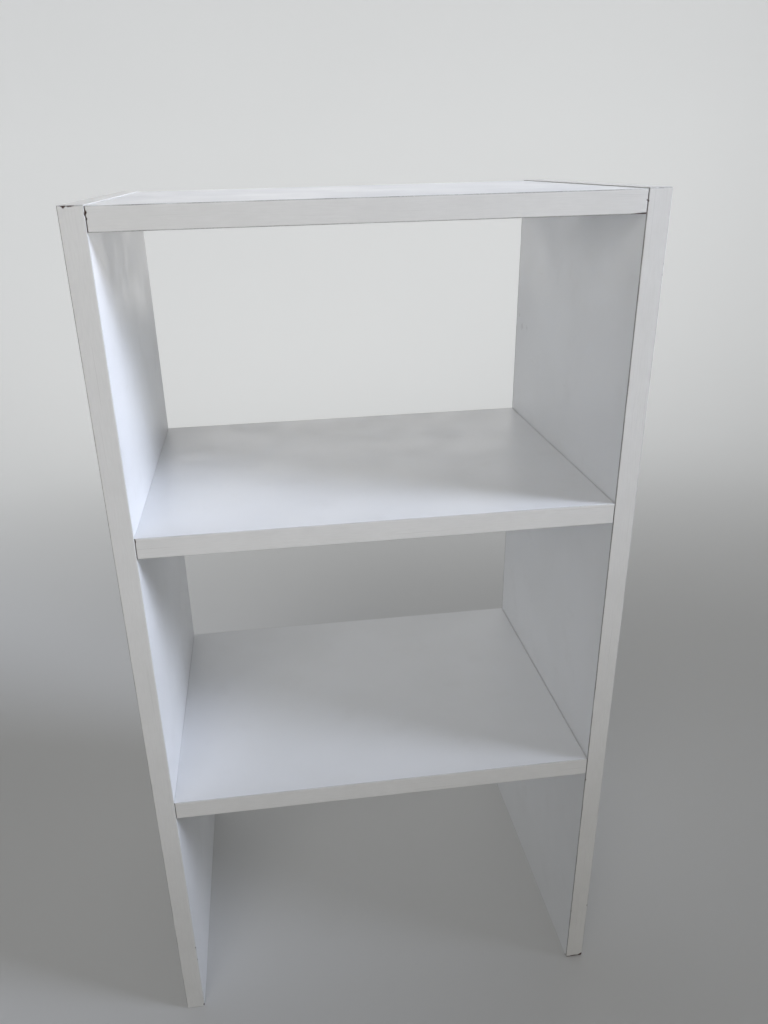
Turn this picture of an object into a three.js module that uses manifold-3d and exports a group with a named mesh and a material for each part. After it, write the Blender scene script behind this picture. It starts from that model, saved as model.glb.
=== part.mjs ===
// Open storage unit of laminated chipboard: two full-height sides with three boards butted
// between them. The top board and the two shelves make two open bays, and the sides carry on
// below the lower shelf to the floor. Each butt joint is pulled up by two one-piece connector
// screws through the side and located by two dowels, and each screw head has a plug-in cap.
// The edges in sight are covered with thin edge tape, and the feet of the sides are left raw.
//
// Millimetres, +Z up. X runs across the unit, the front faces -Y, and the origin is on the
// floor at the middle of the footprint.
import * as THREE from "three";
import { mergeVertices } from "three/addons/utils/BufferGeometryUtils.js";
import Module from "manifold-3d";

const wasm = await Module();
wasm.setup();

// Driving dimensions
const INNER_WIDTH = 400; // between the sides
const DEPTH = 300; // over the front and back tape
const HEIGHT = 800;
const BOARD = 18; // thickness of every board
const TAPE = 0.5; // thickness of the edge tape
const UPPER_FACES = { top_board: HEIGHT, middle_shelf: 551, lower_shelf: 279 };

const SCREW_INSET = 50; // from the front or back edge to the screw's axis
const DOWEL_SPACING = 32; // from the screw's axis to the axis of the dowel beside it

// One-piece connector screw, 7 x 50, with distances measured from the top of its head
const SCREW = {
  length: 50,
  headRadius: 5,
  rimHeight: 1.2,
  headHeight: 3.2,
  shankRadius: 3.5,
  shankEnd: 13,
  rootRadius: 2.5,
  crestRadius: 3.4,
  threadEnd: 45,
  pitch: 4,
  tipRadius: 0.8,
  sunk: 0.5, // head below the outer face of the side
  socketAcrossFlats: 4,
  socketDepth: 3.5,
};
const CAP = { radius: 6.5, rimHeight: 0.5, height: 1.5, domeSteps: 3, pinRadius: 1.7, pinLength: 3.2 };
const DOWEL = { radius: 4, length: 30, chamfer: 1, taper: 0.5, inSide: 10, flutes: 8, fluteDepth: 0.3 };
const CLEARANCE = 0.4; // a bore's radius over the radius of what it holds
const END_ROOM = 0.5; // free length in a bore past what it holds
const OVERSHOOT = 1; // how far a cutter runs past the face that it opens

const ROUND_SEGMENTS = 10; // screws, dowel bores and screw bores
const CAP_SEGMENTS = 16;

const WIDTH = INNER_WIDTH + 2 * BOARD;
const FRONT = -DEPTH / 2;
const BACK = DEPTH / 2;
const CORE_FRONT = FRONT + TAPE;
const CORE_BACK = BACK - TAPE;

const BOARD_FINISH = new THREE.MeshStandardMaterial({ color: 0xe3e4e6, roughness: 0.45, metalness: 0 });
const TAPE_FINISH = new THREE.MeshStandardMaterial({ color: 0xd3d0cb, roughness: 0.55, metalness: 0 });
const SCREW_FINISH = new THREE.MeshStandardMaterial({ color: 0xb9bbbe, roughness: 0.35, metalness: 1 });
const CAP_FINISH = new THREE.MeshStandardMaterial({ color: 0xe6e5e1, roughness: 0.4, metalness: 0 });
const DOWEL_FINISH = new THREE.MeshStandardMaterial({ color: 0xcfae82, roughness: 0.75, metalness: 0 });

// Solids for cutting. A closed geometry becomes a manifold-3d solid and comes back after it.

function solid(geometry, matrix = new THREE.Matrix4()) {
  const bare = geometry.clone().applyMatrix4(matrix);
  bare.deleteAttribute("normal");
  bare.deleteAttribute("uv");
  const merged = mergeVertices(bare);
  return new wasm.Manifold(
    new wasm.Mesh({
      numProp: 3,
      vertProperties: merged.getAttribute("position").array,
      triVerts: new Uint32Array(merged.index.array),
    }),
  );
}

function geometryOf(body) {
  const { vertProperties, triVerts } = body.getMesh();
  const geometry = new THREE.BufferGeometry();
  geometry.setAttribute("position", new THREE.BufferAttribute(vertProperties, 3));
  geometry.setIndex(new THREE.BufferAttribute(triVerts, 1));
  geometry.computeVertexNormals();
  return geometry;
}

// A solid of revolution about +Y, from a list of [radius, distance along the axis].
function turned(profile, segments = ROUND_SEGMENTS) {
  const points = profile.map(([radius, along]) => new THREE.Vector2(radius, along));
  return new THREE.LatheGeometry(points, segments);
}

function namedMesh(name, geometry, material) {
  const mesh = new THREE.Mesh(geometry, material);
  mesh.name = name;
  return mesh;
}

// A plain rectangular piece between its lowest and its highest corner.
function block(name, low, high, material) {
  const size = high.map((value, axis) => value - low[axis]);
  const piece = namedMesh(name, new THREE.BoxGeometry(...size), material);
  piece.position.fromArray(low.map((value, axis) => value + size[axis] / 2));
  return piece;
}

// Fixings, each drawn in its joint's own frame: the origin is on the outer face of the side
// and +Y runs into the wood.

function screwGeometry() {
  const s = SCREW;
  const profile = [
    [0, s.sunk],
    [s.headRadius, s.sunk],
    [s.headRadius, s.sunk + s.rimHeight],
    [s.shankRadius, s.sunk + s.headHeight],
    [s.shankRadius, s.sunk + s.shankEnd],
  ];
  for (let ring = s.shankEnd + s.pitch / 2; ring < s.threadEnd; ring += s.pitch) {
    profile.push([s.rootRadius, s.sunk + ring]);
    profile.push([s.crestRadius, s.sunk + ring + s.pitch / 2]);
  }
  profile.push([s.tipRadius, s.sunk + s.length], [0, s.sunk + s.length]);

  const socketRadius = s.socketAcrossFlats / Math.sqrt(3);
  const socket = new THREE.CylinderGeometry(socketRadius, socketRadius, s.socketDepth + OVERSHOOT, 6);
  socket.translate(0, s.sunk + (s.socketDepth - OVERSHOOT) / 2, 0);
  return geometryOf(solid(turned(profile)).subtract(solid(socket)));
}

function screwBore() {
  const s = SCREW;
  const head = s.headRadius + CLEARANCE;
  const shank = s.shankRadius + CLEARANCE;
  const end = s.sunk + s.length + END_ROOM;
  return turned([
    [0, -OVERSHOOT],
    [head, -OVERSHOOT],
    [head, s.sunk + s.rimHeight + END_ROOM],
    [shank, s.sunk + s.headHeight + END_ROOM],
    [shank, end],
    [0, end],
  ]);
}

// A domed cap outside the face, with a pin that plugs into the screw's socket.
function capGeometry() {
  const c = CAP;
  const profile = [];
  for (let step = 0; step <= c.domeSteps; step++) {
    const angle = (step / c.domeSteps) * (Math.PI / 2);
    const rise = (c.height - c.rimHeight) * Math.cos(angle);
    profile.push([c.radius * Math.sin(angle), -c.rimHeight - rise]);
  }
  profile.push([c.radius, 0], [c.pinRadius, 0], [c.pinRadius, c.pinLength], [0, c.pinLength]);
  return turned(profile, CAP_SEGMENTS);
}

const DOWEL_START = BOARD - DOWEL.inSide; // from the outer face of the side to the dowel's end

function dowelGeometry() {
  const d = DOWEL;
  const outline = new THREE.Path();
  for (let corner = 0; corner < 2 * d.flutes; corner++) {
    const radius = corner % 2 ? d.radius - d.fluteDepth : d.radius;
    const angle = (corner * Math.PI) / d.flutes;
    const point = [radius * Math.cos(angle), radius * Math.sin(angle)];
    if (corner === 0) outline.moveTo(...point);
    else outline.lineTo(...point);
  }
  outline.closePath();

  const fluted = new THREE.ExtrudeGeometry(new THREE.Shape(outline.getPoints()), {
    depth: d.length - 2 * d.chamfer,
    bevelThickness: d.chamfer,
    bevelSize: d.taper,
    bevelOffset: -d.taper,
    bevelSegments: 1,
  });
  return fluted.rotateX(-Math.PI / 2).translate(0, DOWEL_START + d.chamfer, 0);
}

function dowelBore() {
  const radius = DOWEL.radius + CLEARANCE;
  const start = DOWEL_START - END_ROOM;
  const end = DOWEL_START + DOWEL.length + END_ROOM;
  return turned([
    [0, start],
    [radius, start],
    [radius, end],
    [0, end],
  ]);
}

// Joints. Each board meets each side once, and has one set of fixings near the front of the
// joint and one near the back.

const unit = new THREE.Group();
const SIDES = { left: -1, right: 1 };
const ENDS = { front: -1, back: 1 };
const shapes = { screw: screwGeometry(), cap: capGeometry(), dowel: dowelGeometry() };
const bores = { screw: screwBore(), dowel: dowelBore() };
const cutters = { side_left: [], side_right: [], top_board: [], middle_shelf: [], lower_shelf: [] };

// The frame of a fixing that lies `inset` from the front or the back edge.
function jointFrame(board, side, end, inset) {
  const frame = new THREE.Group();
  const height = UPPER_FACES[board] - BOARD / 2;
  frame.position.set((SIDES[side] * WIDTH) / 2, ENDS[end] * (DEPTH / 2 - inset), height);
  frame.rotation.z = (SIDES[side] * Math.PI) / 2;
  unit.add(frame);
  frame.updateMatrixWorld();
  return frame;
}

function fixJoint(board, side, end) {
  const place = `${board}_${side}_${end}`;
  const screwFrame = jointFrame(board, side, end, SCREW_INSET);
  const dowelFrame = jointFrame(board, side, end, SCREW_INSET + DOWEL_SPACING);
  screwFrame.add(namedMesh(`screw_${place}`, shapes.screw, SCREW_FINISH));
  screwFrame.add(namedMesh(`cap_${place}`, shapes.cap, CAP_FINISH));
  dowelFrame.add(namedMesh(`dowel_${place}`, shapes.dowel, DOWEL_FINISH));

  const cuts = [solid(bores.screw, screwFrame.matrixWorld), solid(bores.dowel, dowelFrame.matrixWorld)];
  cutters[board].push(...cuts);
  cutters[`side_${side}`].push(...cuts);
}

for (const board of Object.keys(UPPER_FACES))
  for (const side of Object.keys(SIDES))
    for (const end of Object.keys(ENDS)) fixJoint(board, side, end);

// Boards, with the bores that open into them, and the tape on their edges

function boredBoard(name, low, high) {
  const blank = block(name, low, high, BOARD_FINISH);
  blank.updateMatrixWorld();
  let body = solid(blank.geometry, blank.matrixWorld);
  for (const cutter of cutters[name]) body = body.subtract(cutter);
  unit.add(namedMesh(name, geometryOf(body), BOARD_FINISH));
}

function tape(name, low, high) {
  unit.add(block(`tape_${name}`, low, high, TAPE_FINISH));
}

function edgedBoard(name, [west, bottom], [east, top], coreTop = top) {
  boredBoard(name, [west, CORE_FRONT, bottom], [east, CORE_BACK, coreTop]);
  tape(`${name}_front`, [west, FRONT, bottom], [east, CORE_FRONT, top]);
  tape(`${name}_back`, [west, CORE_BACK, bottom], [east, BACK, top]);
}

for (const [side, sign] of Object.entries(SIDES)) {
  const name = `side_${side}`;
  const middle = (sign * (INNER_WIDTH + BOARD)) / 2;
  const west = middle - BOARD / 2;
  const east = middle + BOARD / 2;
  const coreTop = HEIGHT - TAPE;
  edgedBoard(name, [west, 0], [east, HEIGHT], coreTop);
  tape(`${name}_top`, [west, CORE_FRONT, coreTop], [east, CORE_BACK, HEIGHT]);
}

for (const [name, top] of Object.entries(UPPER_FACES)) {
  edgedBoard(name, [-INNER_WIDTH / 2, top - BOARD], [INNER_WIDTH / 2, top]);
}

export default unit;
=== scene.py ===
"""The looks of an open storage unit of white melamine-faced chipboard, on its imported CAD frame.

Every visible piece is remade here inside its CAD node's box: boards with eased arrises, bores and
broken corners, edge tape trimmed by hand, threaded screws, moulded caps and fluted dowels.
Metres, +Z up, front at -Y.
"""
import math

import bmesh
import bpy
from mathutils import Euler, Matrix, Vector, noise


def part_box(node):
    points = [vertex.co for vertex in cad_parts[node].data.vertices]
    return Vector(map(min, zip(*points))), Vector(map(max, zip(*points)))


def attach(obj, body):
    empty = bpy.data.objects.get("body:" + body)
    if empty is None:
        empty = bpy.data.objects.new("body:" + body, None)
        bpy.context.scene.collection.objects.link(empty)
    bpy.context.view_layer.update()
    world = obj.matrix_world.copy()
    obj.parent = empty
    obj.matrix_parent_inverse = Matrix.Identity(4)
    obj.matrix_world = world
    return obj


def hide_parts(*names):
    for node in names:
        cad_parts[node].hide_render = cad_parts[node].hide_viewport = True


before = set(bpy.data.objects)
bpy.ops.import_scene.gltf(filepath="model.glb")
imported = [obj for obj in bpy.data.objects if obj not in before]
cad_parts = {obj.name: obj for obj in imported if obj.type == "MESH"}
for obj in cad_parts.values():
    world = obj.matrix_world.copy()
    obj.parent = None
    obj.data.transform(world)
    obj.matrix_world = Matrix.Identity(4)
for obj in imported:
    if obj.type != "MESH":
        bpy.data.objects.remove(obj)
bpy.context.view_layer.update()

MM = 0.001

# The object's own names
SIDES = ("left", "right")
ENDS = ("front", "back")
SHELVES = ("top_board", "middle_shelf", "lower_shelf")

# Fit of the boards and the tape
JOINT_GAP = {"left": 0.03 * MM, "right": 0.4 * MM}  # a shelf's end stands this far off the side
TAPE_GAP = {"left": 0.45 * MM, "right": 0.5 * MM}  # and the end of its tape this far
TOP_DROP = 0.7 * MM  # the top board lies this much below the tops of the sides

# Node helpers


def node(tree, kind, inputs=None, **settings):
    """Adds a node. Each input is a plain value or another node's output socket."""
    made = tree.nodes.new(kind)
    for key, value in settings.items():
        setattr(made, key, value)
    for socket, value in (inputs or {}).items():
        if isinstance(value, bpy.types.NodeSocket):
            tree.links.new(value, made.inputs[socket])
        else:
            made.inputs[socket].default_value = value
    return made


def new_material(name, roughness, metallic=0.0):
    material = bpy.data.materials.new(name)
    material.use_nodes = True
    shader = material.node_tree.nodes["Principled BSDF"]
    shader.inputs["Roughness"].default_value = roughness
    shader.inputs["Metallic"].default_value = metallic
    return material, material.node_tree, shader


def position(tree):
    return node(tree, "ShaderNodeTexCoord").outputs["Object"]


def depth_of(tree, where):
    """The place from front to back."""
    return node(tree, "ShaderNodeSeparateXYZ", {0: where}).outputs["Y"]


def noise_at(tree, where, scale, detail=2.0, roughness=0.5, stretch=None):
    """Noise at `scale` features per metre, squeezed by `stretch` along the axes."""
    if stretch:
        mapping = {"Vector": where, "Scale": stretch}
        where = node(tree, "ShaderNodeMapping", mapping).outputs["Vector"]
    inputs = {"Vector": where, "Scale": scale, "Detail": detail, "Roughness": roughness}
    return node(tree, "ShaderNodeTexNoise", inputs).outputs["Fac"]


def remap(tree, value, low, high, to_low=0.0, to_high=1.0):
    """Takes low to to_low and high to to_high, with a smooth step between them."""
    inputs = {"Value": value, "From Min": low, "From Max": high, "To Min": to_low, "To Max": to_high}
    made = node(tree, "ShaderNodeMapRange", inputs, interpolation_type="SMOOTHSTEP")
    return made.outputs["Result"]


def maths(tree, operation, first, second=0.0):
    inputs = {0: first, 1: second}
    return node(tree, "ShaderNodeMath", inputs, operation=operation).outputs["Value"]


def vector_maths(tree, operation, inputs):
    return node(tree, "ShaderNodeVectorMath", inputs, operation=operation)


def mixed(tree, factor, first, second):
    """Mixes two colours. Each is an (r, g, b) or an output socket."""
    made = node(tree, "ShaderNodeMix", {"Factor": factor}, data_type="RGBA")
    for socket, value in ((made.inputs[6], first), (made.inputs[7], second)):
        if isinstance(value, bpy.types.NodeSocket):
            tree.links.new(value, socket)
        else:
            socket.default_value = (*value, 1.0)
    return made.outputs[2]


def painted(tree, base, mask, strength, colour):
    """Lays a colour over the base, as thickly as the mask times the strength."""
    return mixed(tree, maths(tree, "MULTIPLY", mask, strength), base, colour)


def bumped(tree, shader, height, distance, strength=1.0):
    inputs = {"Height": height, "Distance": distance, "Strength": strength}
    tree.links.new(node(tree, "ShaderNodeBump", inputs).outputs["Normal"], shader.inputs["Normal"])


# Materials

MELAMINE_WHITE = (0.80, 0.81, 0.83)
MELAMINE_SHADE = (0.765, 0.775, 0.79)
MELAMINE_HANDLED = (0.62, 0.61, 0.60)
MELAMINE_SCRATCH = (0.55, 0.54, 0.53)
SCUFF_GREY = (0.42, 0.42, 0.42)
TAPE_GREY = (0.73, 0.72, 0.70)
TAPE_SHADE = (0.67, 0.66, 0.64)
# Painted highlight: a pale tone laid along every border of the tape, where its arrises catch the
# light
TAPE_ARRIS_HIGHLIGHT = (0.86, 0.86, 0.86)
TAPE_SCRATCH = (0.42, 0.40, 0.38)
GRIME = (0.095, 0.08, 0.07)
CORE_LIGHT = (0.50, 0.36, 0.22)
CORE_DARK = (0.30, 0.19, 0.11)
BROKEN_LIGHT = (0.12, 0.06, 0.045)
BROKEN_DARK = (0.05, 0.025, 0.02)
ZINC_BRIGHT = (0.66, 0.68, 0.70)
ZINC_DULL = (0.55, 0.53, 0.47)
CAP_WHITE = (0.82, 0.81, 0.79)
CAP_YELLOWED = (0.77, 0.75, 0.70)
BEECH_LIGHT = (0.63, 0.44, 0.26)
BEECH_DARK = (0.50, 0.33, 0.18)
BEECH_FLECK = (0.33, 0.19, 0.10)

# Scuffs on the inner faces: where they are, their radius and how dark they are
SCUFFS = [
    (Vector((200, 141, 661)) * MM, 3.0 * MM, 0.35),
    (Vector((200, 129, 650)) * MM, 4.5 * MM, 0.3),
    (Vector((200, 112, 651)) * MM, 3.5 * MM, 0.3),
]
SCUFF_WANDER = 10 * MM


def wandering(tree, where):
    """The same places, moved about at random by a part of SCUFF_WANDER."""
    inputs = {"Vector": where, "Scale": 260.0, "Detail": 3.0}
    shift = node(tree, "ShaderNodeTexNoise", inputs).outputs["Color"]
    centred = vector_maths(tree, "SUBTRACT", {0: shift, 1: (0.5, 0.5, 0.5)})
    scaled = vector_maths(tree, "SCALE", {0: centred.outputs[0], "Scale": SCUFF_WANDER})
    return vector_maths(tree, "ADD", {0: where, 1: scaled.outputs[0]}).outputs[0]


def scuff_mask(tree, where):
    """Smeared marks at the places in SCUFFS, broken up by noise."""
    bent = wandering(tree, where)
    total = 0.0
    for centre, radius, strength in SCUFFS:
        away = vector_maths(tree, "DISTANCE", {0: bent, 1: centre}).outputs["Value"]
        mark = remap(tree, away, radius * 0.3, radius, strength, 0.0)
        total = maths(tree, "MAXIMUM", mark, total)
    return total


def seam_mask(tree, where, width, strength):
    """Grime in a patchy band of this width beside the tape on a board's front and back edges."""
    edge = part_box("side_left")[1].y
    depth = maths(tree, "ABSOLUTE", depth_of(tree, where))
    band = remap(tree, depth, edge - width, edge - width * 0.4, 0.0, strength)
    patches = remap(tree, noise_at(tree, where, 60.0, 4.0), 0.3, 0.6, 0.6, 1.0)
    return maths(tree, "MULTIPLY", band, patches)


def melamine(name, seam_width, seam_strength):
    """Satin white melamine: fine orange peel, handling marks, scuffs, and grime beside the tape."""
    material, tree, shader = new_material(name, 0.38)
    where = position(tree)
    cloud = remap(tree, noise_at(tree, where, 7.0, 3.0), 0.35, 0.7)
    smear = remap(tree, noise_at(tree, where, 24.0, 5.0, 0.6), 0.55, 0.75)
    lines = noise_at(tree, where, 30.0, 2.0, 0.5, stretch=(40.0, 1.0, 6.0))
    hairline = remap(tree, lines, 0.7, 0.76, 0.0, 0.25)
    base = mixed(tree, cloud, MELAMINE_WHITE, MELAMINE_SHADE)
    base = painted(tree, base, smear, 0.10, MELAMINE_HANDLED)
    base = painted(tree, base, hairline, 0.35, MELAMINE_SCRATCH)
    base = mixed(tree, seam_mask(tree, where, seam_width, seam_strength), base, GRIME)
    base = mixed(tree, scuff_mask(tree, where), base, SCUFF_GREY)
    tree.links.new(base, shader.inputs["Base Color"])

    gloss = remap(tree, noise_at(tree, where, 18.0, 4.0, 0.6), 0.3, 0.7, 0.33, 0.45)
    dulled = maths(tree, "ADD", gloss, maths(tree, "MULTIPLY", smear, 0.06))
    tree.links.new(dulled, shader.inputs["Roughness"])
    peel = maths(tree, "ADD", noise_at(tree, where, 650.0, 2.0), noise_at(tree, where, 2400.0, 1.0))
    bumped(tree, shader, peel, 0.03 * MM, 0.5)
    return material


def edge_tape(along):
    """Off-white paper tape: streaks along it, a painted highlight along its arrises, and grime where
    it is worn.
    """
    material, tree, shader = new_material(f"edge_tape_along_{'xyz'[along]}", 0.5)
    where = position(tree)
    drawn_out = [0.08 if axis == along else 1.0 for axis in range(3)]
    drawn_far = [factor * factor for factor in drawn_out]
    blotch = remap(tree, noise_at(tree, where, 30.0, 4.0, 0.6), 0.35, 0.7)
    streak = remap(tree, noise_at(tree, where, 900.0, 3.0, 0.6, drawn_out), 0.35, 0.7)
    scratch = remap(tree, noise_at(tree, where, 1300.0, 1.0, 0.5, drawn_far), 0.68, 0.76)
    speckle = remap(tree, noise_at(tree, where, 700.0, 4.0, 0.6), 0.3, 0.6, 0.6, 1.0)
    # The painted highlight's mask, carried on the tape's points under the name "arris"
    arris_highlight = node(tree, "ShaderNodeAttribute", attribute_name="arris").outputs["Fac"]
    worn = node(tree, "ShaderNodeAttribute", attribute_name="wear").outputs["Fac"]
    base = painted(tree, TAPE_GREY, blotch, 0.5, TAPE_SHADE)
    base = painted(tree, base, streak, 0.5, TAPE_SHADE)
    base = painted(tree, base, scratch, 0.35, TAPE_SCRATCH)
    # Painted highlight along the tape's borders, where its arrises catch the light
    base = painted(tree, base, arris_highlight, 0.6, TAPE_ARRIS_HIGHLIGHT)
    base = painted(tree, base, worn, speckle, GRIME)
    tree.links.new(base, shader.inputs["Base Color"])

    gloss = remap(tree, noise_at(tree, where, 90.0, 4.0), 0.3, 0.7, 0.34, 0.48)
    dulled = maths(tree, "ADD", gloss, maths(tree, "MULTIPLY", worn, 0.3))
    tree.links.new(dulled, shader.inputs["Roughness"])
    fibres = maths(tree, "ADD", streak, noise_at(tree, where, 500.0, 3.0))
    bumped(tree, shader, fibres, 0.02 * MM, 0.5)
    return material


def chipboard(name, light, dark, flakes_per_metre):
    """Raw chipboard core: glued flakes of mixed tone, with dust between them."""
    material, tree, shader = new_material(name, 0.9)
    where = position(tree)
    inputs = {"Vector": where, "Scale": flakes_per_metre, "Randomness": 1.0}
    flakes = node(tree, "ShaderNodeTexVoronoi", inputs)
    tone = node(tree, "ShaderNodeSeparateColor", {0: flakes.outputs["Color"]}).outputs[0]
    base = mixed(tree, tone, light, dark)
    dust = remap(tree, noise_at(tree, where, flakes_per_metre * 4, 4.0), 0.35, 0.65, 0.0, 0.5)
    dust_colour = [channel * 0.55 for channel in dark]
    tree.links.new(mixed(tree, dust, base, dust_colour), shader.inputs["Base Color"])
    rough = remap(tree, flakes.outputs["Distance"], 0.0, 0.6, 0.95, 0.8)
    tree.links.new(rough, shader.inputs["Roughness"])
    relief = maths(tree, "ADD", tone, noise_at(tree, where, flakes_per_metre * 3, 4.0))
    bumped(tree, shader, relief, 0.25 * MM, 0.8)
    return material


def zinc():
    """Bright zinc plate with a faint grain and duller, yellower patches."""
    material, tree, shader = new_material("zinc_plate", 0.3, 1.0)
    where = position(tree)
    tarnish = remap(tree, noise_at(tree, where, 300.0, 4.0), 0.4, 0.7)
    tree.links.new(mixed(tree, tarnish, ZINC_BRIGHT, ZINC_DULL), shader.inputs["Base Color"])
    tree.links.new(remap(tree, tarnish, 0.0, 1.0, 0.24, 0.42), shader.inputs["Roughness"])
    bumped(tree, shader, noise_at(tree, where, 2500.0, 2.0), 0.01 * MM)
    return material


def cap_plastic():
    """Moulded white plastic with a soft sheen, slightly yellowed in patches."""
    material, tree, shader = new_material("cap_plastic", 0.35)
    where = position(tree)
    age = remap(tree, noise_at(tree, where, 120.0, 3.0), 0.35, 0.7)
    tree.links.new(mixed(tree, age, CAP_WHITE, CAP_YELLOWED), shader.inputs["Base Color"])
    tree.links.new(remap(tree, age, 0.0, 1.0, 0.30, 0.42), shader.inputs["Roughness"])
    bumped(tree, shader, noise_at(tree, where, 1800.0, 2.0), 0.01 * MM)
    return material


def beech():
    """Bare beech: lengthwise grain along X with short dark flecks."""
    material, tree, shader = new_material("beech", 0.7)
    where = position(tree)
    grain = remap(tree, noise_at(tree, where, 500.0, 4.0, 0.6, (0.06, 1.0, 1.0)), 0.35, 0.7)
    fleck = remap(tree, noise_at(tree, where, 1500.0, 2.0, 0.5, (0.15, 1.0, 1.0)), 0.62, 0.7)
    base = mixed(tree, grain, BEECH_LIGHT, BEECH_DARK)
    tree.links.new(mixed(tree, fleck, base, BEECH_FLECK), shader.inputs["Base Color"])
    tree.links.new(remap(tree, grain, 0.0, 1.0, 0.62, 0.8), shader.inputs["Roughness"])
    bumped(tree, shader, grain, 0.05 * MM)
    return material


MELAMINE = {
    "clean": melamine("melamine_clean", 0.5 * MM, 0.25),
    "grimy": melamine("melamine_grimy", 1.3 * MM, 0.9),
}
TAPES = [edge_tape(axis) for axis in range(3)]
CORE = chipboard("chipboard_core", CORE_LIGHT, CORE_DARK, 600.0)
BROKEN = chipboard("broken_edge", BROKEN_LIGHT, BROKEN_DARK, 1100.0)
ZINC = zinc()
CAP_PLASTIC = cap_plastic()
BEECH = beech()

# Mesh helpers


def linked(name, data):
    """Puts a new object into the scene."""
    made = bpy.data.objects.new(name, data)
    bpy.context.scene.collection.objects.link(made)
    return made


def object_from(name, shape, *materials):
    """Turns a bmesh into an object and frees it."""
    bmesh.ops.recalc_face_normals(shape, faces=shape.faces)
    mesh = bpy.data.meshes.new(name)
    shape.to_mesh(mesh)
    shape.free()
    for material in materials:
        mesh.materials.append(material)
    return linked(name, mesh)


def carve(piece, cutter):
    """Cuts the cutter out of the piece. The new faces take the cutter's material."""
    modifier = piece.modifiers.new("carve", "BOOLEAN")
    modifier.operation = "DIFFERENCE"
    modifier.solver = "EXACT"
    modifier.material_mode = "TRANSFER"
    modifier.object = cutter
    cut = piece.evaluated_get(bpy.context.evaluated_depsgraph_get())
    mesh = bpy.data.meshes.new_from_object(cut)
    piece.modifiers.clear()
    piece.data = mesh
    bpy.data.objects.remove(cutter)


def as_drawn(radius, _along, _angle):
    return radius


def turned(profile, segments, radius_at=as_drawn, upright=False):
    """A surface of revolution about +X, or about +Z if it is upright.

    The profile's points are (radius, distance along the axis). A ring's radius comes from
    radius_at(radius, distance along the axis, angle).
    """
    shape = bmesh.new()
    angles = [2 * math.pi * step / segments for step in range(segments)]
    rings = []
    for radius, along in profile:
        if radius == 0:
            centre = (0, 0, along) if upright else (along, 0, 0)
            rings.append([shape.verts.new(centre)] * segments)
            continue
        radii = [radius_at(radius, along, angle) for angle in angles]
        ring = [(r * math.cos(a), r * math.sin(a)) for r, a in zip(radii, angles)]
        points = [(*pair, along) if upright else (along, *pair) for pair in ring]
        rings.append([shape.verts.new(point) for point in points])
    for near, far in zip(rings, rings[1:]):
        for step in range(segments):
            after = (step + 1) % segments
            corners = dict.fromkeys((near[step], near[after], far[after], far[step]))
            shape.faces.new(corners)
    return shape


def round_off(mesh, crease):
    """Smooth shading, with an edge wherever faces meet at more than so many degrees."""
    mesh.shade_smooth()
    mesh.set_sharp_from_angle(angle=math.radians(crease))


def mesh_of(made, crease):
    """Rounds off an object's mesh and keeps it without the object, for several pieces to share."""
    mesh = made.data
    bpy.data.objects.remove(made)
    round_off(mesh, crease)
    return mesh


def finish_piece(piece, node_name):
    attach(piece, "root")
    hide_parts(node_name)


def extent(name, axis):
    low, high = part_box(name)
    return high[axis] - low[axis]


# Fixings. Their lengths, and the radii of the caps and dowels, come from the frame.

HEAD_RADIUS = 5 * MM
HEAD_CHAMFER = 0.3 * MM
HEAD_RIM = 1.2 * MM
HEAD_HEIGHT = 3.2 * MM
SHANK_RADIUS = 3.5 * MM
SHANK_END = 13 * MM
THREAD_ROOT = 2.4 * MM
THREAD_CREST = 3.4 * MM
THREAD_PITCH = 3 * MM
THREAD_RIDGE = 0.28  # half the width of the thread's ridge, in pitches
THREAD_RINGS = 10  # rings of points in one pitch
TIP_LENGTH = 2 * MM
SCREW_SEGMENTS = 28
SOCKET_SIDES = 6
SOCKET_ACROSS_FLATS = 4 * MM
SOCKET_DEPTH = 3.5 * MM
SOCKET_CONE = 0.6 * MM
CAP_RIM = 0.5 * MM
CAP_PIN_RADIUS = 1.7 * MM
CAP_PIN_FILLET = 0.3 * MM
CAP_PIN_TAPER = 0.4 * MM
CAP_DOME_STEPS = 8
CAP_SEGMENTS = 48
DOWEL_FLUTES = 16
DOWEL_FLUTE_DEPTH = 0.25 * MM
DOWEL_FLUTE_SEGMENTS = 8
DOWEL_CHAMFER = 1 * MM
DOWEL_STEPS = 6  # between its chamfers


def places():
    """Each place where a board is fixed to a side: its name, the board and the side."""
    joints = [(board, side) for board in SHELVES for side in SIDES]
    return [(f"{board}_{side}_{end}", board, side) for board, side in joints for end in ENDS]


def fixing_frame(side, node_name):
    """Where a fixing starts, on its own axis, turned so that +X runs into the wood."""
    low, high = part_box(node_name)
    centre = (low + high) / 2
    start = low.x if side == "left" else high.x
    turn = 0 if side == "left" else math.pi
    return Matrix.Translation((start, centre.y, centre.z)) @ Matrix.Rotation(turn, 4, "Z")


def screw_profile(length, thread_end):
    step = THREAD_PITCH / THREAD_RINGS
    rings = int((thread_end - SHANK_END) / step)
    return [
        (0, 0),
        (HEAD_RADIUS - HEAD_CHAMFER, 0),
        (HEAD_RADIUS, HEAD_CHAMFER),
        (HEAD_RADIUS, HEAD_RIM),
        (SHANK_RADIUS, HEAD_HEIGHT),
        (SHANK_RADIUS, SHANK_END),
        *((THREAD_ROOT, SHANK_END + step * count) for count in range(1, rings)),
        (THREAD_ROOT * 0.6, length - TIP_LENGTH / 2),
        (THREAD_ROOT * 0.25, length),
        (0, length),
    ]


def socket_cutter():
    radius = SOCKET_ACROSS_FLATS / math.sqrt(3)
    profile = [(0, -MM), (radius, -MM), (radius, SOCKET_DEPTH), (0, SOCKET_DEPTH + SOCKET_CONE)]
    return object_from("socket", turned(profile, SOCKET_SIDES), ZINC)


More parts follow.
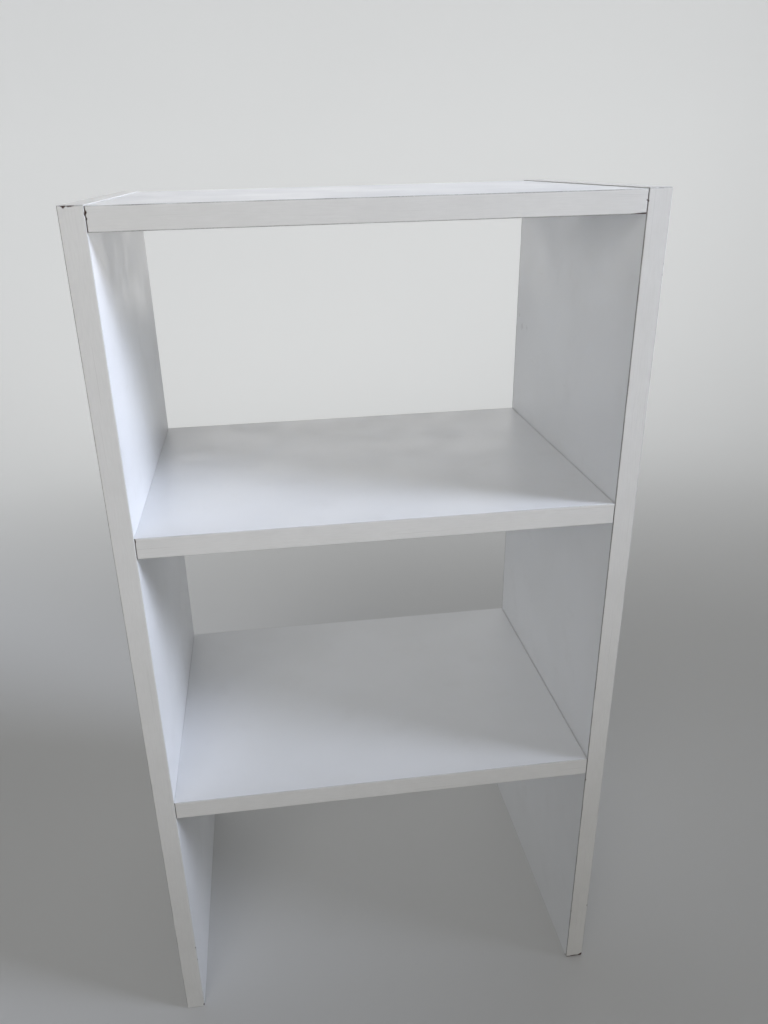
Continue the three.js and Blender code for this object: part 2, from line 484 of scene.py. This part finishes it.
def screw_mesh(length):
    """A one-piece connector screw: countersunk head, hexagon socket, shank and coarse thread."""
    thread_end = length - TIP_LENGTH

    def threaded(radius, along, angle):
        if not SHANK_END < along < thread_end:
            return radius
        phase = (along / THREAD_PITCH - angle / (2 * math.pi)) % 1
        ridge = max(0.0, 1 - abs(phase - 0.5) / THREAD_RIDGE)
        from_end = min(along - SHANK_END, thread_end - along)
        fade = min(1.0, from_end / THREAD_PITCH)
        return radius + (THREAD_CREST - THREAD_ROOT) * ridge * fade

    shape = turned(screw_profile(length, thread_end), SCREW_SEGMENTS, threaded)
    screw = object_from("screw", shape, ZINC)
    carve(screw, socket_cutter())
    return mesh_of(screw, crease=35)


def cap_mesh(radius, height, pin_length):
    """A domed cover cap with a rounded rim and a pin. It starts at the face that it lies on."""
    rise = height - CAP_RIM
    dome = [math.pi / 2 * step / CAP_DOME_STEPS for step in range(1, CAP_DOME_STEPS + 1)]
    profile = [
        (0, -height),
        *((radius * 0.96 * math.sin(angle), -CAP_RIM - rise * math.cos(angle)) for angle in dome),
        (radius, -CAP_RIM * 0.7),
        (radius, -CAP_RIM * 0.2),
        (radius * 0.98, 0),
        (radius * 0.8, 0),
        (CAP_PIN_RADIUS * 1.3, 0),
        (CAP_PIN_RADIUS, CAP_PIN_FILLET),
        (CAP_PIN_RADIUS, pin_length - CAP_PIN_TAPER),
        (CAP_PIN_RADIUS * 0.7, pin_length),
        (0, pin_length),
    ]
    return mesh_of(object_from("cap", turned(profile, CAP_SEGMENTS), CAP_PLASTIC), crease=50)


def fluted(radius, _along, angle):
    return radius - DOWEL_FLUTE_DEPTH * (0.5 + 0.5 * math.cos(DOWEL_FLUTES * angle)) ** 2


def dowel_mesh(length, radius):
    """A fluted dowel with chamfered ends."""
    inner = radius - DOWEL_CHAMFER / 2
    straight = length - 2 * DOWEL_CHAMFER
    rings = [DOWEL_CHAMFER + straight * step / DOWEL_STEPS for step in range(DOWEL_STEPS + 1)]
    body = [(radius, along) for along in rings]
    profile = [(0, 0), (inner, 0), *body, (inner, length), (0, length)]
    shape = turned(profile, DOWEL_FLUTES * DOWEL_FLUTE_SEGMENTS, fluted)
    return mesh_of(object_from("dowel", shape, BEECH), crease=40)


def place_fixing(name, mesh, matrix):
    piece = linked(f"{name}_detailed", mesh)
    piece.matrix_world = matrix
    finish_piece(piece, name)


def make_fixings():
    first = places()[0][0]
    side_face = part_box("side_left")[0].x
    cap_low, cap_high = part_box(f"cap_{first}")
    proud = side_face - cap_low.x
    onto_face = Matrix.Translation((proud, 0, 0))
    screw = screw_mesh(extent(f"screw_{first}", 0))
    cap = cap_mesh(extent(f"cap_{first}", 2) / 2, proud, cap_high.x - side_face)
    dowel = dowel_mesh(extent(f"dowel_{first}", 0), extent(f"dowel_{first}", 2) / 2)
    for place, _board, side in places():
        cap_frame = fixing_frame(side, f"cap_{place}") @ onto_face
        place_fixing(f"screw_{place}", screw, fixing_frame(side, f"screw_{place}"))
        place_fixing(f"cap_{place}", cap, cap_frame)
        place_fixing(f"dowel_{place}", dowel, fixing_frame(side, f"dowel_{place}"))


# Bores

BORE_CLEARANCE = 0.4 * MM  # a bore's radius over the radius of what it holds
BORE_END_ROOM = 0.5 * MM  # free length in a bore past what it holds
BORE_OVERSHOOT = 2 * MM  # how far a screw's cutter runs out past the face that it opens
BORE_SEGMENTS = 24


def screw_bore(length):
    head = HEAD_RADIUS + BORE_CLEARANCE
    shank = SHANK_RADIUS + BORE_CLEARANCE
    end = length + BORE_END_ROOM
    return [
        (0, -BORE_OVERSHOOT),
        (head, -BORE_OVERSHOOT),
        (head, HEAD_RIM + BORE_END_ROOM),
        (shank, HEAD_HEIGHT + BORE_END_ROOM),
        (shank, end),
        (0, end),
    ]


def dowel_bore(length, radius):
    bore = radius + BORE_CLEARANCE
    start = -BORE_END_ROOM
    end = length + BORE_END_ROOM
    return [(0, start), (bore, start), (bore, end), (0, end)]


def add_bore(shape, profile, matrix):
    bore = turned(profile, BORE_SEGMENTS)
    bmesh.ops.transform(bore, matrix=matrix, verts=bore.verts)
    scratch = bpy.data.meshes.new("bore")
    bore.to_mesh(scratch)
    bore.free()
    shape.from_mesh(scratch)
    bpy.data.meshes.remove(scratch)


def bore_cutters(name):
    """The bores that the screws and dowels of one board need, as one object."""
    shape = bmesh.new()
    for place, board, side in places():
        if name in (board, f"side_{side}"):
            screw = f"screw_{place}"
            dowel = f"dowel_{place}"
            dowel_profile = dowel_bore(extent(dowel, 0), extent(dowel, 2) / 2)
            add_bore(shape, screw_bore(extent(screw, 0)), fixing_frame(side, screw))
            add_bore(shape, dowel_profile, fixing_frame(side, dowel))
    return object_from("bores", shape, CORE)


# Boards

BOARD_ARRIS = 0.2 * MM
GRIMY_BOARDS = ("side_right",)

# Where the corners of a board are broken, in mm: the middle of each break and its radius
BRUISES = {
    "side_left": [
        ((-213.6, -150.1, 800.2), 1.9),
        ((-199.6, -150.0, -0.3), 2.0),
        ((-218.3, 149.8, -0.2), 2.4),
    ],
    "side_right": [
        ((218.5, -150.0, -0.4), 1.8),
        ((199.5, -148.0, -0.3), 2.2),
        ((199.9, 149.9, -0.4), 1.8),
        ((218.2, 149.7, 799.4), 1.5),
    ],
}
BRUISE_COARSE = 900  # features per metre in the roughness of a break
BRUISE_FINE = 2600
BRUISE_ROUGHNESS = 0.5  # as a share of its radius


def eased_block(name, low, high, *materials):
    shape = bmesh.new()
    bmesh.ops.create_cube(shape, size=1.0)
    bmesh.ops.scale(shape, vec=high - low, verts=shape.verts)
    bmesh.ops.translate(shape, vec=(low + high) / 2, verts=shape.verts)
    bmesh.ops.bevel(
        shape, geom=shape.edges[:], offset=BOARD_ARRIS, segments=2, profile=0.5, affect="EDGES"
    )
    return object_from(name, shape, *materials)


def mark_raw_faces(mesh, raw_axes):
    """Gives the second material to the faces that look along the raw axes and bear no melamine."""
    for face in mesh.polygons:
        if max(range(3), key=lambda axis: abs(face.normal[axis])) in raw_axes:
            face.material_index = 1


def bruise_cutters(bruises):
    """Ragged lumps that break a board's corners where it has been knocked, as one object."""
    shape = bmesh.new()
    for centre, radius in bruises:
        middle = Vector(centre) * MM
        matrix = Matrix.Translation(middle)
        lump = bmesh.ops.create_icosphere(shape, subdivisions=3, radius=radius * MM, matrix=matrix)
        for vertex in lump["verts"]:
            coarse = noise.noise(vertex.co * BRUISE_COARSE)
            fine = noise.noise(vertex.co * BRUISE_FINE)
            vertex.co += (vertex.co - middle) * BRUISE_ROUGHNESS * (coarse + 0.4 * fine)
    return object_from("bruises", shape, BROKEN)


def make_board(name, low, high, raw_axes):
    finish = MELAMINE["grimy" if name in GRIMY_BOARDS else "clean"]
    board = eased_block(f"{name}_detailed", low, high, finish, BROKEN)
    mark_raw_faces(board.data, raw_axes)
    carve(board, bore_cutters(name))
    if name in BRUISES:
        carve(board, bruise_cutters(BRUISES[name]))
    finish_piece(board, name)


def make_boards():
    for side in SIDES:
        low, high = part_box(f"side_{side}")
        make_board(f"side_{side}", low, high, raw_axes=(1, 2))
    for name in SHELVES:
        low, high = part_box(name)
        low.x += JOINT_GAP["left"]
        high.x -= JOINT_GAP["right"]
        if name == "top_board":
            high.z -= TOP_DROP
        make_board(name, low, high, raw_axes=(0, 1))


# Edge tape. A strip has four borders: "low" and "high" are its long arrises, at the lower and the
# higher coordinate across it, and "start" and "end" are its ends.

TAPE_ARRIS = 0.35 * MM
TAPE_TRIM = 0.15 * MM  # how far the trimmed edge of the tape wanders inwards
TRIM_SLOW = 60 * MM  # the lengths of the two waves in the trimmed edge
TRIM_QUICK = 12 * MM
TAPE_RIPPLE = 0.03 * MM
RIPPLES_PER_METRE = 90
TAPE_STEP = 6 * MM  # between grid lines, away from borders and chips
TAPE_LEAST_STEP = 0.05 * MM  # a grid line nearer than this to the last one is left out
BORDER_LINES = (0.0, 0.08 * MM, TAPE_ARRIS, 0.8 * MM)  # grid lines this far in from each border
CHIP_LINES = (-1, -0.6, -0.25, 0.1, 0.5, 1)  # and these about a chip's middle, in half widths

# How dark each border of a tape has gone, from 0 to 1: low, high, start and end
ARRIS_WEAR = {
    "tape_side_left_front": (1.0, 0.15, 0.6, 1.0),
    "tape_side_right_front": (0.85, 0.9, 1.0, 0.9),
    "tape_top_board_front": (0.95, 0.95, 0.8, 0.9),
    "tape_middle_shelf_front": (0.35, 0.35, 0.7, 0.6),
    "tape_lower_shelf_front": (0.25, 0.35, 0.7, 0.6),
    "tape_side_left_top": (0.5, 0.0, 1.0, 0.4),
    "tape_side_right_top": (0.8, 0.3, 0.8, 0.4),
}
USUAL_WEAR = (0.5, 0.5, 0.5, 0.5)
WEAR_WIDTH = 0.6 * MM
WEAR_STEEPNESS = 1.4  # over 1, so that the outermost part of a worn border is equally dark
ARRIS_HIGHLIGHT_WIDTH = 1.2 * WEAR_WIDTH  # the painted highlight along every border
PATCHES_ALONG = 45  # patches of wear per metre, along and across the tape
PATCHES_ACROSS = 20

# These set one use of the noise apart from another
HIGH_BORDER_SEED = 31
QUICK_WAVE_SEED = 7.0
PATCH_SEED = 5.0

# Chips out of a tape, in mm: the border, the place along it in the frame, the half width and the
# depth
CHIPS = {
    "tape_side_left_front": [
        ("end", -213.6, 2.2, 1.8),
        ("end", -209.4, 3.4, 1.25),
        ("end", -209.5, 10.5, 0.75),
        ("high", 794.0, 1.8, 0.6),
        ("high", 88.0, 1.6, 0.8),
        ("high", 71.0, 1.2, 0.6),
        ("high", 2.0, 3.0, 1.2),
    ],
    "tape_side_right_front": [
        ("end", 209.0, 11.0, 0.6),
        ("low", 791.0, 0.9, 0.5),
        ("low", 252.0, 1.2, 0.9),
        ("low", 70.0, 1.2, 0.6),
        ("high", 746.0, 0.9, 0.5),
        ("high", 738.0, 1.1, 0.5),
        ("high", 74.0, 1.6, 0.8),
        ("start", 217.0, 4.0, 4.0),
        ("start", 208.5, 13.0, 1.8),
        ("start", 200.5, 1.8, 1.5),
    ],
    "tape_top_board_front": [
        ("start", 795.2, 1.6, 0.9),
        ("start", 791.0, 1.2, 0.6),
        ("end", 791.2, 0.9, 0.9),
        ("low", 200.0, 13.0, 0.8),
    ],
    "tape_middle_shelf_front": [("start", 549.0, 2.2, 0.5)],
    "tape_side_left_top": [("start", -213.6, 2.2, 1.2), ("start", -209.2, 3.0, 0.9)],
    "tape_side_left_back": [("start", -216.0, 2.0, 1.6), ("high", 402.0, 1.4, 0.6)],
    "tape_side_right_back": [
        ("low", 2.0, 2.4, 1.3),
        ("end", 216.5, 2.2, 1.1),
        ("low", 540.0, 1.2, 0.5),
    ],
}
CHIP_RAGGEDNESS = 1400  # features per metre along the edge of a chip


def falling_arris(distance):
    """How far the rounded face of the tape has dropped at this distance from a border."""
    inside = max(0.0, 1 - distance / TAPE_ARRIS)
    return TAPE_ARRIS * (1 - math.sqrt(1 - inside * inside))


def wander(along, seed):
    """How far the trimmed edge of the tape stands in from its full width, up to TAPE_TRIM."""
    slow = noise.noise(Vector((along / TRIM_SLOW, seed, 0.0)))
    quick = noise.noise(Vector((along / TRIM_QUICK, seed, QUICK_WAVE_SEED)))
    return TAPE_TRIM * (0.5 + 0.35 * slow + 0.15 * quick)


def bite(chips, border, place):
    """How deep the chips out of a border go at a place along it."""
    depths = [0.0]
    for chipped, centre, half, depth in chips:
        inside = 1 - abs(place / MM - centre) / half
        if chipped == border and inside > 0:
            ragged = 1 + 0.3 * noise.noise(Vector((place * CHIP_RAGGEDNESS, centre, 0.0)))
            depths.append(depth * MM * inside**0.7 * ragged)
    return max(depths)


def lines_across(size, start, chips, borders):
    """Where a tape's grid lines lie in one direction: close at its borders and at each chip."""
    lines = [*BORDER_LINES, *(size - inset for inset in BORDER_LINES)]
    for chipped, centre, half, _depth in chips:
        if chipped in borders:
            lines += [(centre + half * share) * MM - start for share in CHIP_LINES]
    count = max(4, round(size / TAPE_STEP))
    lines += [size * step / count for step in range(1, count)]
    kept = []
    for line in sorted(lines):
        if 0 <= line <= size and (not kept or line - kept[-1] > TAPE_LEAST_STEP):
            kept.append(line)
    return kept


def tape_grid(name, low, size, along, across, seed):
    """The points of a tape's grid, row by row, and how many there are in a row.

    A point is its place across the tape, its place along it, and how far it lies in from each
    border, in the order of ARRIS_WEAR.
    """
    chips = CHIPS.get(name, [])
    rows = lines_across(size[along], low[along], chips, ("low", "high"))
    columns = lines_across(size[across], low[across], chips, ("start", "end"))
    points = []
    for row in rows:
        in_low = wander(row, seed) + bite(chips, "low", low[along] + row)
        in_high = wander(row, seed + HIGH_BORDER_SEED) + bite(chips, "high", low[along] + row)
        for column in columns:
            in_start = bite(chips, "start", low[across] + column)
            in_end = bite(chips, "end", low[across] + column)
            u = in_low + (size[across] - in_low - in_high) * column / size[across]
            v = in_start + (size[along] - in_start - in_end) * row / size[along]
            points.append((u, v, (column, size[across] - column, row, size[along] - row)))
    return points, len(columns)


def face_height(u, v, insets, thickness, seed):
    """How high the tape's face stands over its back, less its rounded arrises and a ripple."""
    drop = min(max(falling_arris(inset) for inset in insets), TAPE_ARRIS)
    where = Vector((u * RIPPLES_PER_METRE, v * RIPPLES_PER_METRE, seed))
    ripple = TAPE_RIPPLE * (0.5 + 0.5 * noise.noise(where))
    return thickness - drop - ripple


def darkening(u, v, insets, wears, seed):
    """How dark the tape has gone, from 0 to 1: most at its worn borders, and in patches."""
    nearness = [max(0.0, 1 - inset / WEAR_WIDTH) for inset in insets]
    worn = max(wear * min(1.0, WEAR_STEEPNESS * near) for wear, near in zip(wears, nearness))
    where = Vector((v * PATCHES_ALONG, u * PATCHES_ACROSS, seed + PATCH_SEED))
    patches = 0.65 + 0.6 * noise.noise(where)
    return worn * max(0.25, min(1.0, patches))


def close_grids(shape, face, back, wide):
    """Fills in a tape's face and back, two grids that are `wide` points across, and its rim."""
    last = len(face) // wide - 1
    for row in range(last):
        for column in range(wide - 1):
            corner = row * wide + column
            corners = (corner, corner + 1, corner + wide + 1, corner + wide)
            shape.faces.new([face[index] for index in corners])
            shape.faces.new([back[index] for index in reversed(corners)])
    rim = list(range(wide))
    rim += [row * wide + wide - 1 for row in range(1, last + 1)]
    rim += [last * wide + column for column in range(wide - 2, -1, -1)]
    rim += [row * wide for row in range(last - 1, 0, -1)]
    for here, there in zip(rim, rim[1:] + rim[:1]):
        shape.faces.new((face[here], back[here], back[there], face[there]))


def tape_object(name, low, high, axis, sign, seed):
    """A strip of tape that fills the box from low to high. Its face looks along the signed axis.

    The face is a grid, rounded off at its borders. Its back is flat. Chips bite into both.
    """
    size = high - low
    along = max((other for other in range(3) if other != axis), key=lambda other: size[other])
    across = 3 - axis - along
    wears = ARRIS_WEAR.get(name, USUAL_WEAR)
    points, wide = tape_grid(name, low, size, along, across, seed)
    shape = bmesh.new()
    wear_layer = shape.verts.layers.float.new("wear")
    arris_highlight_layer = shape.verts.layers.float.new("arris")
    face, back = [], []
    for u, v, insets in points:
        top = face_height(u, v, insets, size[axis], seed)
        for grid, height in ((face, top), (back, 0.0)):
            point = Vector(low)
            point[along] += v
            point[across] += u
            point[axis] = low[axis] + height if sign > 0 else high[axis] - height
            vertex = shape.verts.new(point)
            vertex[wear_layer] = darkening(u, v, insets, wears, seed)
            # How strongly the painted highlight lies here, greatest at the tape's borders
            vertex[arris_highlight_layer] = max(0.0, 1 - min(insets) / ARRIS_HIGHLIGHT_WIDTH)
            grid.append(vertex)
    close_grids(shape, face, back, wide)
    return object_from(f"{name}_detailed", shape, TAPES[along])


def make_tape(name, axis, sign, low, high, seed):
    tape = tape_object(name, low, high, axis, sign, seed)
    round_off(tape.data, crease=50)
    finish_piece(tape, name)


def make_tapes():
    seed = 0
    for name in [*(f"side_{side}" for side in SIDES), *SHELVES]:
        for end, sign in (("front", -1), ("back", 1)):
            low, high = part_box(f"tape_{name}_{end}")
            if name in SHELVES:
                low.x += TAPE_GAP["left"]
                high.x -= TAPE_GAP["right"]
            if name == "top_board":
                high.z -= TOP_DROP
            make_tape(f"tape_{name}_{end}", 1, sign, low, high, seed)
            seed += 1
    for side in SIDES:
        low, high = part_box(f"tape_side_{side}_top")
        make_tape(f"tape_side_{side}_top", 2, 1, low, high, seed)
        seed += 1


# Stage

STAGE_RADIUS = 2.6
STAGE_COVE = 0.9
STAGE_COVE_STEPS = 12
STAGE_HEIGHT = 2.6
STAGE_FLOOR_RINGS = (0.0, 0.6, 1.6)
STAGE_SEGMENTS = 96
STAGE_PAINT = (0.68, 0.68, 0.675)
STAGE_SHADE = (0.665, 0.665, 0.66)

# The stage glows as lit walls would: from and to which Y, and how strongly at each
GLOW_BEHIND = (0.2, 2.4, 0.0, 0.42)
GLOW_AHEAD = (-0.8, -2.2, 0.0, 0.15)
GLOW_COLOUR = (0.97, 0.99, 1.0, 1.0)


def stage_profile():
    """From the middle of the floor outwards, round the cove and up the wall."""
    flat = STAGE_RADIUS - STAGE_COVE
    arc = [math.pi / 2 * step / STAGE_COVE_STEPS for step in range(STAGE_COVE_STEPS + 1)]
    return [
        *((radius, 0.0) for radius in STAGE_FLOOR_RINGS),
        *((flat + STAGE_COVE * math.sin(a), STAGE_COVE * (1 - math.cos(a))) for a in arc),
        (STAGE_RADIUS, STAGE_HEIGHT),
    ]


def stage_paint_and_glow():
    material, tree, shader = new_material("stage_paint_and_glow", 0.9)
    where = position(tree)
    tone = remap(tree, noise_at(tree, where, 1.5, 2.0), 0.3, 0.7)
    tree.links.new(mixed(tree, tone, STAGE_PAINT, STAGE_SHADE), shader.inputs["Base Color"])
    # Painted light: the stage glows, strongly behind the object and faintly ahead of it, as lit
    # walls would
    depth = depth_of(tree, where)
    behind = remap(tree, depth, *GLOW_BEHIND)
    ahead = remap(tree, depth, *GLOW_AHEAD)
    tree.links.new(maths(tree, "ADD", behind, ahead), shader.inputs["Emission Strength"])
    shader.inputs["Emission Color"].default_value = GLOW_COLOUR
    return material


def make_stage():
    """A pale floor that sweeps up all round into a pale wall, and glows as painted light, most
    behind the object.
    """
    shape = turned(stage_profile(), STAGE_SEGMENTS, upright=True)
    stage = object_from("stage", shape, stage_paint_and_glow())
    stage.data.flip_normals()
    stage.data.shade_smooth()


# Lights

# Area lamps. The bearing runs from the front towards +X, aim is the height on the Z axis that a
# lamp looks at, and the bearing, the elevation and the spread are in degrees.
LAMPS = {
    "window": {
        "bearing": 70,
        "elevation": 22,
        "distance": 2.0,
        "aim": 0.72,
        "size": (0.8, 0.6),
        "spread": 34,
        "power": 2.7,
        "colour": (0.79, 0.85, 1.0),
    },
    "room": {
        "bearing": -20,
        "elevation": 20,
        "distance": 2.0,
        "aim": 0.72,
        "size": (1.2, 1.0),
        "spread": 60,
        "power": 1.6,
        "colour": (1.0, 0.97, 0.90),
    },
    "rear_wall": {
        "bearing": 180,
        "elevation": 0,
        "distance": 1.0,
        "aim": 0.85,
        "size": (1.6, 0.6),
        "spread": 80,
        "power": 0.6,
        "colour": (1.0, 0.96, 0.90),
    },
}
SKY_COLOUR = (1.0, 1.0, 1.0, 1.0)
SKY_STRENGTH = 0.2


def area_light(name, bearing, elevation, distance, aim, size, spread, power, colour):
    turn = math.radians(bearing)
    rise = math.radians(elevation)
    level = math.cos(rise)
    away = Vector((math.sin(turn) * level, -math.cos(turn) * level, math.sin(rise)))
    light = bpy.data.lights.new(name, "AREA")
    light.shape = "RECTANGLE"
    light.size, light.size_y = size
    light.spread = math.radians(spread)
    light.energy = power
    light.color = colour
    lamp = linked(name, light)
    lamp.location = Vector((0, 0, aim)) + away * distance
    lamp.rotation_euler = away.to_track_quat("Z", "Y").to_euler()
    lamp.visible_camera = False


def make_lights():
    for name, settings in LAMPS.items():
        area_light(name, **settings)
    world = bpy.data.worlds.new("studio")
    world.use_nodes = True
    background = world.node_tree.nodes["Background"]
    background.inputs["Color"].default_value = SKY_COLOUR
    background.inputs["Strength"].default_value = SKY_STRENGTH
    bpy.context.scene.world = world


# Camera

EYE = Vector((-86.6, -756.1, 822.7)) * MM
HEADING = 6.73  # degrees from +Y towards +X
LOOK_DOWN = 23.71
ROLL = -1.48
SENSOR = 36.0  # the long side, in mm
FOCAL_LENGTH = 28.62
SHIFT = (0.0194, 0.0061)
NEAR_CLIP = 10 * MM


def make_camera():
    camera = linked("camera", bpy.data.cameras.new("camera"))
    camera.data.lens = FOCAL_LENGTH
    camera.data.sensor_width = SENSOR
    camera.data.shift_x, camera.data.shift_y = SHIFT
    camera.location = EYE
    turn = Euler((math.radians(90 - LOOK_DOWN), 0, math.radians(-HEADING))).to_matrix()
    camera.rotation_euler = (turn @ Matrix.Rotation(math.radians(ROLL), 3, "Z")).to_euler()
    camera.data.clip_start = NEAR_CLIP
    bpy.context.scene.camera = camera


make_boards()
make_tapes()
make_fixings()
make_stage()
make_lights()
make_camera()
bpy.context.scene.view_settings.view_transform = "Standard"
